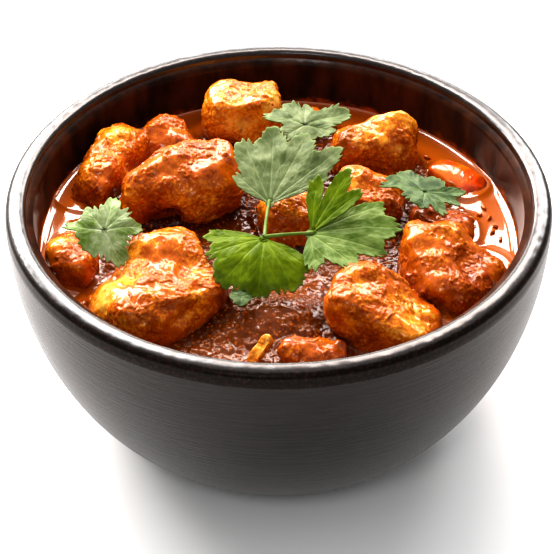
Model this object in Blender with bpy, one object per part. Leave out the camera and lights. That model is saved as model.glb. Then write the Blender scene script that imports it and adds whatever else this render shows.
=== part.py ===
"""A stoneware bowl of chicken curry: the bowl, the sauce, the pieces of chicken and the coriander.

Lengths are millimetres until a mesh is made. +Z is up, and the origin is the middle of the bowl's base.
"""

import math

import bpy
import numpy as np

MM = 0.001

# The bowl.
RIM_RADIUS = 75.0
BOWL_HEIGHT = 74.0
BASE_RADIUS = 44.3
BULGE_HEIGHT = 70.0
BULGE_POWER = 2.11
LIP_WALL = 5.5
LIP_DROP = 2.7
SIDE_WALL = 7.5
FOOT_WALL = 9.0
FLOOR_THICKNESS = 9.5
SEGMENTS = 44

# The food.
GAP = 0.3
SAUCE_LEVEL = 57.0
MOUND = {"at": (-2.0, -35.0), "spread": (13.0, 9.5), "rise": 5.5}
EDGE_POWER = 7.0
CONTACT_POWER = 12.0
CHAMFERS = 9
WALL_CLEARANCE = 0.8
LEAF_THICKNESS = 0.8
STEM_RADIUS = 0.65
IMPRINT_DEPTH = 0.35
IMPRINT_RISE = 22.0
DROOP_SPAN = 12.0

# Each piece of food: its middle and half sizes, its turn about X, Y and Z in degrees, the facets round
# and along its mesh, and a seed for its chamfers.
PIECES = {
    "chicken_back": ((-10.5, 51, 61.5), (13, 10, 12.8), (0, 0, 4), (14, 9), 3),
    "chicken_back_left": ((-50, 28, 58), (20, 10.5, 12.5), (0, -6, 58), (14, 9), 8),
    "chicken_left_behind": ((-34, 42, 54.5), (9.5, 9, 11), (8, 0, 20), (12, 7), 5),
    "chicken_left": ((-28.5, 15.5, 63.5), (18, 11.5, 12.5), (8, -6, 8), (16, 10), 2),
    "chicken_left_small": ((-57.5, -13, 55.5), (9, 11, 10.5), (0, 0, -15), (12, 7), 6),
    "chicken_front_left": ((-34, -31, 59.5), (18.5, 17.5, 12.8), (0, 4, 30), (16, 10), 7),
    "chicken_shred": ((-4.6, -52, 60.5), (7.6, 2.4, 2.2), (0, -36, 52), (8, 5), 4),
    "chicken_front": ((9, -52.5, 55.5), (10, 7, 7.5), (0, 0, -6), (12, 7), 9),
    "chicken_front_right": ((28, -37, 60.5), (18, 13.5, 12), (0, 10, -24), (16, 10), 1),
    "chicken_right": ((48, -19.5, 58), (16.5, 15, 11.5), (4, 6, -10), (16, 10), 10),
    "chicken_centre_right": ((26, 12, 58.5), (11.5, 9, 10.5), (0, 0, -12), (13, 8), 11),
    "chicken_right_low": ((46.5, 4, 55), (11, 7, 8.5), (0, 8, -10), (12, 7), 12),
    "chicken_back_right": ((29, 36, 61.5), (14.5, 10.5, 12), (6, 0, 6), (14, 9), 13),
    "chicken_centre": ((3, 4, 58), (10, 10, 10), (0, 0, 12), (13, 8), 14),
    "chicken_back_tip": ((11, 54, 55.5), (7, 6, 9), (0, 0, 0), (10, 6), 15),
    "tomato_wedge": ((52.8, 26, 55.5), (10.5, 7, 6), (0, 10, -38), (12, 7), 16),
}

# Each leaf blade: its middle, its tilt about X in degrees, how far its edge droops, and its lobes, each
# a direction and half width in degrees with a length between them.
BLADES = {
    "sprig_back": ((-2.5, -6, 73.5), 22, 0.10, ((128, 14, 22), (106, 24, 24), (82, 25.5, 26), (56, 26.5, 26), (36, 23.5, 17))),
    "sprig_front": ((-4.6, -20.7, 72), 25, 0.16, ((178, 16.5, 40), (222, 18, 42), (270, 14.5, 46), (316, 16, 40))),
    "sprig_right": ((8.3, -18.9, 73), 22, 0.12, ((-80, 13, 34), (-42, 16.5, 36), (-4, 25, 26), (20, 23.5, 22))),
    "sprig_upright": ((8.9, -18, 73.2), 48, 0.04, ((72, 15, 26), (45, 18.8, 28), (20, 13, 26))),
    "coriander_back": ((7.4, 27.8, 76.5), 20, 0.10, ((156, 13.5, 44), (100, 9, 50), (22, 14.5, 44), (-40, 9, 60), (220, 8, 50))),
    "coriander_left": ((-46.1, -17.9, 74), 25, 0.10, ((180, 11, 34), (98, 10.5, 44), (12, 10.5, 44), (-85, 10.5, 44))),
    "coriander_right": ((40.5, 1.9, 73), 25, 0.10, ((140, 14, 44), (0, 11, 32), (-55, 10.5, 46), (205, 6, 50))),
    "coriander_front": ((-10, -36.6, 66.3), 10, 0.10, ((150, 3.2, 80), (30, 3.2, 80), (-90, 3.2, 80))),
}
SPRIG_BLADES = ("sprig_back", "sprig_front", "sprig_right", "sprig_upright")
SPRIG_NODE = (-3.8, -19.5, 72.4)
SPRIG_STEMS = ((-2.5, -5.0, 73.6), (9.6, -18.6, 73.3))
BLADE_RAYS = 22
BLADE_RINGS = 2


def material(name, colour, roughness, metallic=0.0):
    """A Principled material of one plain colour."""
    made = bpy.data.materials.new(name)
    made.use_nodes = True
    shader = made.node_tree.nodes["Principled BSDF"]
    shader.inputs["Base Color"].default_value = (*colour, 1.0)
    shader.inputs["Roughness"].default_value = roughness
    shader.inputs["Metallic"].default_value = metallic
    return made


def solid(name, points, faces, finish=None, sharp_angle=50.0):
    """A mesh object from points in millimetres. One with no finish is a cutter, left out of the model."""
    mesh = bpy.data.meshes.new(name)
    mesh.from_pydata((np.asarray(points) * MM).tolist(), [], [list(face) for face in faces])
    mesh.validate()
    made = bpy.data.objects.new(name, mesh)
    bpy.context.scene.collection.objects.link(made)
    if finish is None:
        made.hide_render = True
        made.display_type = "WIRE"
    else:
        mesh.materials.append(finish)
        mesh.shade_smooth()
        mesh.set_sharp_from_angle(angle=math.radians(sharp_angle))
    return made


def cut(body, cutter, operation="DIFFERENCE"):
    """A Boolean of two closed meshes that stays live on the first."""
    step = body.modifiers.new(cutter.name, "BOOLEAN")
    step.operation = operation
    step.solver = "EXACT"
    step.object = cutter


def grid_faces(rings, around, first_pole, last_pole, start=0):
    """Faces of rings that close on themselves, with a pole at each end, facing out when the rings climb."""
    faces = []
    for ring in range(rings - 1):
        for k in range(around):
            after = (k + 1) % around
            low, high = start + ring * around, start + (ring + 1) * around
            faces.append((low + k, low + after, high + after))
            faces.append((low + k, high + after, high + k))
    top = start + (rings - 1) * around
    for k in range(around):
        after = (k + 1) % around
        faces.append((first_pole, start + after, start + k))
        faces.append((last_pole, top + k, top + after))
    return faces


def lathe(profile):
    """Points and faces of a profile of (radius, height) turned about Z, from its lower pole to its upper."""
    turn = np.arange(SEGMENTS) * 2 * np.pi / SEGMENTS
    inner = np.array(profile[1:-1], dtype=float)
    rings = np.stack(
        [
            inner[:, :1] * np.cos(turn),
            inner[:, :1] * np.sin(turn),
            np.repeat(inner[:, 1:], SEGMENTS, axis=1),
        ],
        axis=-1,
    ).reshape(-1, 3)
    poles = [[0.0, 0.0, profile[0][1]], [0.0, 0.0, profile[-1][1]]]
    points = np.vstack([rings, poles])
    faces = grid_faces(len(inner), SEGMENTS, len(rings), len(rings) + 1)
    return points, faces


def outer_radius(height):
    """The bowl's side: a rounded curve from the base out to its widest, just under the lip."""
    depth = 1.0 - (BASE_RADIUS / (RIM_RADIUS + 0.2)) ** BULGE_POWER
    reach = BULGE_HEIGHT / depth ** (1.0 / BULGE_POWER)
    drop = max(BULGE_HEIGHT - height, 0.0) / reach
    return (RIM_RADIUS + 0.2) * (1.0 - drop**BULGE_POWER) ** (1.0 / BULGE_POWER)


def inner_radius(height):
    """The inside of the wall, which thickens towards the foot."""
    share = height / BOWL_HEIGHT
    return outer_radius(height) - (SIDE_WALL * share + FOOT_WALL * (1.0 - share))


def bowl_profile():
    lip_middle = RIM_RADIUS - LIP_WALL / 2
    lip_base = BOWL_HEIGHT - LIP_DROP
    profile = [(0.0, 0.0), (BASE_RADIUS - 1.5, 0.0)]
    profile += [(outer_radius(z), z) for z in (1.2, 9.0, 19.0, 31.0, 44.0, 58.0)]
    for degrees in (0, 45, 90, 135, 180):
        angle = math.radians(degrees)
        rise = LIP_DROP * math.sin(angle)
        profile.append((lip_middle + LIP_WALL / 2 * math.cos(angle), lip_base + rise))
    profile += [(inner_radius(z), z) for z in (SAUCE_LEVEL, 42.0, 28.0, 18.0)]
    profile += [(inner_radius(12.0) - 4.0, 12.0), (inner_radius(12.0) - 11.0, FLOOR_THICKNESS)]
    profile.append((0.0, FLOOR_THICKNESS))
    return profile


def make_bowl():
    points, faces = lathe(bowl_profile())
    finish = material("stoneware", (0.055, 0.045, 0.042), 0.45)
    return solid("bowl", points, faces, finish, sharp_angle=40.0)


def sauce_height(x, y):
    """The sauce's surface: level, with a low mound of thick sauce and onion at the front."""
    across = (x - MOUND["at"][0]) / MOUND["spread"][0]
    along = (y - MOUND["at"][1]) / MOUND["spread"][1]
    return SAUCE_LEVEL + MOUND["rise"] * np.exp(-(across**2) - along**2)


def make_sauce():
    """The sauce fills the bowl to its level, a gap inside the wall."""
    profile = [(0.0, FLOOR_THICKNESS + GAP)]
    profile += [(inner_radius(12.0) - 11.5, FLOOR_THICKNESS + GAP), (inner_radius(12.0) - 4.8, 12.3)]
    profile += [(inner_radius(z) - GAP, z) for z in (18.4, 28.0, 42.0, SAUCE_LEVEL)]
    edge = profile[-1][0]
    profile += [(edge * share, SAUCE_LEVEL) for share in (0.85, 0.7, 0.56, 0.42, 0.25)]
    profile.append((0.0, SAUCE_LEVEL))
    points, faces = lathe(profile)
    top = (points[:, 2] > SAUCE_LEVEL - 0.01) & (np.hypot(points[:, 0], points[:, 1]) < edge * 0.95)
    points[top, 2] = sauce_height(points[top, 0], points[top, 1])
    return solid("sauce", points, faces, material("curry_sauce", (0.30, 0.06, 0.01), 0.2))


def rotation(degrees):
    """The matrix that turns about X, then Y, then Z."""
    x, y, z = np.radians(degrees)
    about_x = np.array([[1, 0, 0], [0, np.cos(x), -np.sin(x)], [0, np.sin(x), np.cos(x)]])
    about_y = np.array([[np.cos(y), 0, np.sin(y)], [0, 1, 0], [-np.sin(y), 0, np.cos(y)]])
    about_z = np.array([[np.cos(z), -np.sin(z), 0], [np.sin(z), np.cos(z), 0], [0, 0, 1]])
    return about_z @ about_y @ about_x


def spread_directions(count):
    """Unit vectors spread evenly by the golden angle."""
    index = np.arange(count) + 0.5
    height = 1.0 - 2.0 * index / count
    turn = index * math.pi * (3.0 - math.sqrt(5.0))
    ring = np.sqrt(1.0 - height**2)
    return np.stack([ring * np.cos(turn), ring * np.sin(turn), height], axis=1)


class Piece:
    """A diced piece: a block with chamfered corners and soft edges, flat where it meets a neighbour.

    Its radius in a direction is a soft minimum of the distances to its faces along that direction.
    """

    def __init__(self, name, middle, half, turn, facets, seed):
        self.name = name
        self.middle = np.array(middle, dtype=float)
        self.turn = rotation(turn)
        self.facets = facets
        self.contacts = []
        draws = np.random.default_rng(seed)
        corners = draws.normal(size=(CHAMFERS, 3))
        corners /= np.linalg.norm(corners, axis=1, keepdims=True)
        self.normals = np.vstack([np.eye(3), -np.eye(3), corners])
        self.heights = np.concatenate([np.ones(6), draws.uniform(0.98, 1.22, CHAMFERS)])
        self.half = np.array(half, dtype=float)
        probe = spread_directions(3000)
        reach = np.abs(probe * self.block_radius(probe)[:, None]).max(axis=0)
        self.half *= self.half / reach

    def block_radius(self, own):
        """The block's radius in directions given along its own axes."""
        lean = (own / self.half) @ self.normals.T / self.heights
        return np.sum(np.maximum(lean, 0.0) ** EDGE_POWER, axis=1) ** (-1.0 / EDGE_POWER)

    def radius(self, directions):
        """The block's radius, cut by the faces that it shares with its neighbours and the wall."""
        total = self.block_radius(directions @ self.turn) ** -CONTACT_POWER
        for normal, height in self.contacts:
            total += np.maximum(directions @ normal / height, 0.0) ** CONTACT_POWER
        return total ** (-1.0 / CONTACT_POWER)

    def mesh(self, grow=0.0):
        """Points and faces: rings of latitude about Z, pushed out to the radius."""
        around, rings = self.facets
        rise = np.linspace(-np.pi / 2, np.pi / 2, rings + 2)[1:-1]
        turn = np.arange(around) * 2 * np.pi / around
        ring = np.stack(
            [
                np.outer(np.cos(rise), np.cos(turn)),
                np.outer(np.cos(rise), np.sin(turn)),
                np.outer(np.sin(rise), np.ones(around)),
            ],
            axis=-1,
        ).reshape(-1, 3)
        directions = np.vstack([ring, [[0, 0, -1.0], [0, 0, 1.0]]])
        points = self.middle + directions * (self.radius(directions) + grow)[:, None]
        return points, grid_faces(rings, around, len(ring), len(ring) + 1)


def meet(first, second):
    """A shared face between two pieces, where each gives way by its share of the distance."""
    apart = second.middle - first.middle
    distance = np.linalg.norm(apart)
    normal = apart / distance
    reach = first.radius(normal[None])[0], second.radius(-normal[None])[0]
    if distance > 1.6 * sum(reach):
        return
    split = distance * reach[0] / sum(reach)
    first.contacts.append((normal, split - GAP))
    second.contacts.append((-normal, distance - split - GAP))


def lean_on_wall(piece):
    """Faces that keep a piece off the inside of the bowl, at three heights and five directions round it."""
    middle_turn = math.atan2(piece.middle[1], piece.middle[0])
    if np.hypot(*piece.middle[:2]) < 30:
        return
    for wall_height in (44.0, 52.0, 62.0):
        slope = (inner_radius(wall_height + 1.0) - inner_radius(wall_height - 1.0)) / 2.0
        wall_radius = inner_radius(wall_height) - WALL_CLEARANCE
        for degrees in (-30, -15, 0, 15, 30):
            turn = middle_turn + math.radians(degrees)
            normal = np.array([math.cos(turn), math.sin(turn), -slope])
            normal /= np.linalg.norm(normal)
            wall = np.array([math.cos(turn) * wall_radius, math.sin(turn) * wall_radius, wall_height])
            piece.contacts.append((normal, float((wall - piece.middle) @ normal)))


def make_pieces():
    """Every piece of food that stands in the sauce, as {name: (piece, object)}."""
    pieces = [Piece(name, *values) for name, values in PIECES.items()]
    for piece in pieces:
        lean_on_wall(piece)
    for i, first in enumerate(pieces):
        for second in pieces[i + 1 :]:
            meet(first, second)
    chicken = material("chicken_in_sauce", (0.55, 0.19, 0.02), 0.35)
    tomato = material("tomato", (0.55, 0.07, 0.01), 0.25)
    made = {}
    for piece in pieces:
        finish = tomato if piece.name == "tomato_wedge" else chicken
        made[piece.name] = (piece, solid(piece.name, *piece.mesh(), finish))
    return made


def blade_reach(turn, lobes, least=1.4):
    """A leaf's radius in a direction: the longest of its lobes there, each a round arch."""
    total = np.full_like(turn, least**6)
    for direction, length, half_width in lobes:
        off = (turn - math.radians(direction) + np.pi) % (2 * np.pi) - np.pi
        arch = np.sqrt(np.maximum(1.0 - (off / math.radians(half_width)) ** 2, 0.0))
        total += (length * arch) ** 6
    return total ** (1 / 6)


def blade_mesh(middle, tilt, droop, lobes, below, above, grow=0.0):
    """Points and faces of a leaf's blade: rings of its outline, drooping towards the edge, with two sides."""
    turn = np.arange(BLADE_RAYS) * 2 * np.pi / BLADE_RAYS
    reach = blade_reach(turn, lobes) + grow
    share = np.arange(1, BLADE_RINGS + 1) / BLADE_RINGS
    x = np.outer(share, reach * np.cos(turn)).ravel()
    y = np.outer(share, reach * np.sin(turn)).ravel()
    flat = np.stack([x, y, -droop * (x**2 + y**2) / DROOP_SPAN], axis=1)
    matrix = rotation((tilt, 0.0, 0.0))
    face = np.vstack([flat, [[0.0, 0.0, 0.0]]])
    low = (face + [0, 0, -below]) @ matrix.T + middle
    high = (face + [0, 0, above]) @ matrix.T + middle
    count = len(face)
    rim = (BLADE_RINGS - 1) * BLADE_RAYS
    faces = []
    for k in range(BLADE_RAYS):
        after = (k + 1) % BLADE_RAYS
        faces.append((count - 1, after, k))
        faces.append((2 * count - 1, count + k, count + after))
        for ring in range(BLADE_RINGS - 1):
            near, far = ring * BLADE_RAYS, (ring + 1) * BLADE_RAYS
            faces.append((near + k, near + after, far + after, far + k))
            faces.append((count + near + k, count + far + k, count + far + after, count + near + after))
        faces.append((rim + k, rim + after, count + rim + after, count + rim + k))
    return np.vstack([low, high]), faces


def stem_mesh(start, end, sides=6):
    """Points and faces of a straight round stem between two points."""
    start, end = np.array(start), np.array(end)
    along = (end - start) / np.linalg.norm(end - start)
    across = np.cross(along, [0.0, 0.0, 1.0])
    across /= np.linalg.norm(across)
    third = np.cross(along, across)
    turn = np.arange(sides) * 2 * np.pi / sides
    ring = STEM_RADIUS * (np.outer(np.cos(turn), across) + np.outer(np.sin(turn), third))
    points = np.vstack([start + ring, end + ring, [start, end]])
    return points, grid_faces(2, sides, 2 * sides, 2 * sides + 1)


def make_coriander(pieces):
    """The sprig of three leaves on its stem, and four loose leaves. Each presses into the food under it."""
    green = material("coriander", (0.10, 0.26, 0.05), 0.5)
    half = LEAF_THICKNESS / 2
    for name, (middle, tilt, droop, lobes) in BLADES.items():
        middle = np.array(middle, dtype=float)
        points, faces = blade_mesh(middle, tilt, droop, lobes, half, half)
        alone = name not in SPRIG_BLADES
        blade = solid(name, points, faces, green if alone else None, sharp_angle=60.0)
        if name == SPRIG_BLADES[0]:
            sprig = blade
            sprig.name = "coriander_sprig"
            sprig.hide_render = False
            sprig.display_type = "TEXTURED"
            sprig.data.materials.append(green)
        elif not alone:
            cut(sprig, blade, "UNION")
        imprint = blade_mesh(middle, tilt, droop, lobes, half + IMPRINT_DEPTH, IMPRINT_RISE, grow=0.4)
        cutter = solid(name + "_imprint", *imprint)
        low, high = imprint[0].min(axis=0), imprint[0].max(axis=0)
        for piece, body in pieces.values():
            shape = piece.mesh()[0]
            if (shape.max(axis=0) > low).all() and (shape.min(axis=0) < high).all():
                cut(body, cutter)
    for number, end in enumerate(SPRIG_STEMS):
        stem = solid(f"sprig_stem_{number}", *stem_mesh(SPRIG_NODE, end))
        cut(sprig, stem, "UNION")


def main():
    for left_over in list(bpy.data.objects):
        bpy.data.objects.remove(left_over, do_unlink=True)
    make_bowl()
    sauce = make_sauce()
    pieces = make_pieces()
    for piece, _ in pieces.values():
        cut(sauce, solid(piece.name + "_hollow", *piece.mesh(grow=GAP)))
    make_coriander(pieces)


main()
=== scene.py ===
"""The finish of a bowl of chicken curry: stoneware, sauce, pieces of chicken and fresh coriander.

Lengths are millimetres until a mesh is made. +Z is up, and the frame gives every piece its place.
"""

import math

import bpy
import numpy as np
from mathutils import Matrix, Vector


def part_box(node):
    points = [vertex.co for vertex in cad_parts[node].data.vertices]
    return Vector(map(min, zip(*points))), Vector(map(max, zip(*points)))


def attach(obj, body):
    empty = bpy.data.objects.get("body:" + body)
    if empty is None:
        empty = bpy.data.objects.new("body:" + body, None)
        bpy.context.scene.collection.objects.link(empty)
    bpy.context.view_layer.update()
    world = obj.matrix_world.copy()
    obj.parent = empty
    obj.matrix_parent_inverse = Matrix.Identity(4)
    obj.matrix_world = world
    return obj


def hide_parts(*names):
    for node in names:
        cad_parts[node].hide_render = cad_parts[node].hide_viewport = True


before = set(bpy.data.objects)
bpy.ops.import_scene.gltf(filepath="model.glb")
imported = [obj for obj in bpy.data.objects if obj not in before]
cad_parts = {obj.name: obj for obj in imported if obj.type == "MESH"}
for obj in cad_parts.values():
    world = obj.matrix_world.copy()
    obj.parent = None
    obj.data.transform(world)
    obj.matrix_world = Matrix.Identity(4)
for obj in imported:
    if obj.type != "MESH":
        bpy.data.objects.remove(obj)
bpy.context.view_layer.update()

MM = 0.001

# The bowl and the sauce.
RIM_RADIUS = 75.0
BOWL_HEIGHT = 74.0
BASE_RADIUS = 44.3
BULGE_HEIGHT = 70.0
BULGE_POWER = 2.11
LIP_WALL = 5.5
LIP_DROP = 2.7
LIP_POWER = 2.5
LIP_TILT = 0.9
SIDE_WALL = 7.5
FOOT_WALL = 9.0
FLOOR_THICKNESS = 9.5
SAUCE_LEVEL = 57.0
MOUND = {"at": (-2.0, -35.0), "spread": (13.0, 9.5), "rise": 5.0}


# ---------------------------------------------------------------- numbers over space


def smooth(low, high, value):
    """0 below low, 1 above high, and the cubic 3t^2 - 2t^3 between them."""
    share = np.clip((value - low) / (high - low), 0.0, 1.0)
    return share * share * (3.0 - 2.0 * share)


def lattice_number(cells, seed):
    """A repeatable number from 0 to 1 for each whole-number cell."""
    mixed = cells[:, 0] * 73856093 ^ cells[:, 1] * 19349663 ^ cells[:, 2] * 83492791 ^ seed * 40503
    mixed = (mixed ^ (mixed >> 13)) * 1274126177
    return ((mixed ^ (mixed >> 16)) & 0xFFFF) / 65535.0


def noise(points, size, seed):
    """Value noise from -1 to 1: a number at each corner of a cubic lattice, blended by a quintic."""
    scaled = points / size + 0.37
    base = np.floor(scaled).astype(np.int64)
    part = scaled - base
    fade = part**3 * (part * (part * 6.0 - 15.0) + 10.0)
    total = np.zeros(len(points))
    for corner in np.ndindex(2, 2, 2):
        weight = np.prod(np.where(corner, fade, 1.0 - fade), axis=1)
        total += weight * lattice_number(base + np.array(corner), seed)
    return 2.0 * total - 1.0


OCTAVE_TURN = np.array([[0.36, 0.48, -0.8], [-0.8, 0.6, 0.0], [0.48, 0.64, 0.6]])


def octaves(points, size, seed, count=3, fall=0.5):
    """Noise summed over octaves, each half the size of the last, turned, and weaker by the fall."""
    total, weight, turned = np.zeros(len(points)), 1.0, points
    for octave in range(count):
        total += weight * noise(turned, size / 2**octave, seed + octave * 7)
        turned = turned @ OCTAVE_TURN
        weight *= fall
    return total


def pebbles(points, size, seed):
    """The distance to the nearest of one random point in each lattice cell, in cells, and its own number."""
    scaled = points / size
    base = np.floor(scaled).astype(np.int64)
    nearest = np.full(len(points), 9.0)
    number = np.zeros(len(points))
    for offset in np.ndindex(3, 3, 3):
        cell = base + np.array(offset) - 1
        middle = np.stack([lattice_number(cell, seed + k) for k in range(3)], axis=1)
        away = np.linalg.norm(cell + middle - scaled, axis=1)
        closer = away < nearest
        nearest[closer] = away[closer]
        number[closer] = lattice_number(cell[closer], seed + 5)
    return nearest, number


def toward(azimuth, elevation):
    """The unit vector at an azimuth from +X and an elevation, in degrees."""
    turn, rise = math.radians(azimuth), math.radians(elevation)
    return np.array([math.cos(rise) * math.cos(turn), math.cos(rise) * math.sin(turn), math.sin(rise)])


def rotation(degrees):
    """The matrix that turns about X, then Y, then Z."""
    x, y, z = np.radians(degrees)
    about_x = np.array([[1, 0, 0], [0, np.cos(x), -np.sin(x)], [0, np.sin(x), np.cos(x)]])
    about_y = np.array([[np.cos(y), 0, np.sin(y)], [0, 1, 0], [-np.sin(y), 0, np.cos(y)]])
    about_z = np.array([[np.cos(z), -np.sin(z), 0], [np.sin(z), np.cos(z), 0], [0, 0, 1]])
    return about_z @ about_y @ about_x


# ---------------------------------------------------------------- meshes


def grid_quads(rows, columns, closed=False):
    """Quads of a grid whose points run along each row; closed joins each row's end to its start."""
    row, column = np.meshgrid(np.arange(rows - 1), np.arange(columns - (not closed)), indexing="ij")
    after = (column + 1) % columns
    start, following = row * columns, (row + 1) * columns
    corners = (start + column, start + after, following + after, following + column)
    return np.stack(corners, axis=-1).reshape(-1, 4)


def point_normals(points, quads):
    """Unit normals at the points: the sum of the cross products of the diagonals of the quads round each."""
    face = np.cross(points[quads[:, 2]] - points[quads[:, 0]], points[quads[:, 3]] - points[quads[:, 1]])
    flat = quads.ravel()
    total = [np.bincount(flat, np.repeat(face[:, axis], 4), len(points)) for axis in range(3)]
    normals = np.stack(total, axis=1)
    return normals / np.maximum(np.linalg.norm(normals, axis=1, keepdims=True), 1e-12)


def make_piece(name, points, faces, finish, stands_for=(), values=None):
    """One smooth piece of the object from points in millimetres, riding on the one body."""
    mesh = bpy.data.meshes.new(name)
    mesh.from_pydata((points * MM).tolist(), [], faces if isinstance(faces, list) else faces.tolist())
    mesh.materials.append(finish)
    for key, numbers in (values or {}).items():
        layer = mesh.attributes.new(key, "FLOAT", "POINT")
        layer.data.foreach_set("value", np.asarray(numbers, dtype=np.float32))
    mesh.shade_smooth()
    piece = bpy.data.objects.new(name, mesh)
    bpy.context.scene.collection.objects.link(piece)
    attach(piece, "root")
    if stands_for:
        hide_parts(*stands_for)
    return piece


def solidify(piece, thickness, offset):
    """Gives a sheet its thickness in millimetres."""
    wall = piece.modifiers.new("thickness", "SOLIDIFY")
    wall.thickness = thickness * MM
    wall.offset = offset


# ---------------------------------------------------------------- materials


class Wire:
    """A socket whose arithmetic adds Math nodes to its material."""

    def __init__(self, finish, socket):
        self.finish = finish
        self.socket = socket

    def sum_with(self, operation, other, flipped=False):
        pair = (other, self) if flipped else (self, other)
        return self.finish.add("ShaderNodeMath", {"operation": operation}, {0: pair[0], 1: pair[1]})

    def __add__(self, other):
        return self.sum_with("ADD", other)

    def __sub__(self, other):
        return self.sum_with("SUBTRACT", other)

    def __rsub__(self, other):
        return self.sum_with("SUBTRACT", other, flipped=True)

    def __mul__(self, other):
        return self.sum_with("MULTIPLY", other)

    __radd__ = __add__
    __rmul__ = __mul__

    def between(self, low, high, start=0.0, end=1.0):
        """Start below low, end above high, and smooth between them."""
        settings = {"interpolation_type": "SMOOTHSTEP", "clamp": True}
        values = {"Value": self, "From Min": low, "From Max": high, "To Min": start, "To Max": end}
        return self.finish.add("ShaderNodeMapRange", settings, values)


class Finish:
    """A material built by expressions; position is the Object coordinates in millimetres."""

    def __init__(self, name):
        self.material = bpy.data.materials.new(name)
        self.material.use_nodes = True
        self.tree = self.material.node_tree
        self.tree.nodes.clear()
        place = self.add("ShaderNodeTexCoord", {}, {}, "Object")
        scale = {0: place, "Scale": 1.0 / MM}
        self.position = self.add("ShaderNodeVectorMath", {"operation": "SCALE"}, scale)
        split = self.tree.nodes.new("ShaderNodeSeparateXYZ")
        self.tree.links.new(self.position.socket, split.inputs[0])
        self.z = Wire(self, split.outputs["Z"])

    def add(self, kind, settings, values, output=0):
        """A node of a kind: its settings first, then the links or values of its sockets."""
        node = self.tree.nodes.new(kind)
        for key, value in settings.items():
            setattr(node, key, value)
        for key, value in values.items():
            socket = node.inputs[key]
            if isinstance(value, Wire):
                self.tree.links.new(value.socket, socket)
            elif isinstance(value, tuple) and len(value) == 3 and socket.type == "RGBA":
                socket.default_value = (*value, 1.0)
            else:
                socket.default_value = value
        return Wire(self, node.outputs[output]) if node.outputs else None

    def attribute(self, name):
        return self.add("ShaderNodeAttribute", {"attribute_name": name}, {}, "Fac")

    def noise(self, size, detail=3.0, rough=0.5, twist=0.0, vector=None):
        """Noise about the given size in millimetres, from 0 to 1."""
        values = {"Vector": vector or self.position, "Scale": 1.0 / size, "Detail": detail}
        values |= {"Roughness": rough, "Distortion": twist}
        return self.add("ShaderNodeTexNoise", {}, values, "Fac")

    def cells(self, size, vector=None, output="Distance"):
        values = {"Vector": vector or self.position, "Scale": 1.0 / size}
        return self.add("ShaderNodeTexVoronoi", {}, values, output)

    def wandering(self, reach):
        """The position pushed about by noise, up to a reach in millimetres, to break up regular shapes."""
        values = {"Vector": self.position, "Scale": 0.7, "Detail": 2.0}
        push = self.add("ShaderNodeTexNoise", {}, values, "Color")
        moved = self.add("ShaderNodeVectorMath", {"operation": "SCALE"}, {0: push, "Scale": 2.0 * reach})
        return self.add("ShaderNodeVectorMath", {"operation": "ADD"}, {0: self.position, 1: moved})

    def stretched(self, x, y, z):
        """The position with each axis scaled."""
        return self.add("ShaderNodeVectorMath", {"operation": "MULTIPLY"}, {0: self.position, 1: (x, y, z)})

    def mix(self, share, first, second):
        """The first colour where share is 0, the second where it is 1."""
        settings = {"data_type": "RGBA", "clamp_factor": True}
        return self.add("ShaderNodeMix", settings, {0: share, 6: first, 7: second}, 2)

    def bump(self, height, depth, strength=1.0, under=None):
        """A normal from heights of 0 to 1 that stand for a depth in millimetres."""
        values = {"Height": height, "Distance": depth * MM, "Strength": strength}
        if under:
            values["Normal"] = under
        return self.add("ShaderNodeBump", {}, values)

    def principled(self, **values):
        named = {key.replace("_", " "): value for key, value in values.items()}
        return self.add("ShaderNodeBsdfPrincipled", {}, named)

    def done(self, shader):
        self.add("ShaderNodeOutputMaterial", {}, {"Surface": shader})
        return self.material


CREAM = (0.80, 0.43, 0.085)
GOLD = (0.76, 0.295, 0.018)
AMBER = (0.62, 0.190, 0.007)
ORANGE = (0.46, 0.108, 0.003)
RUST = (0.27, 0.050, 0.002)
MAROON = (0.11, 0.017, 0.001)
CHILLI = (0.48, 0.022, 0.001)


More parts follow.
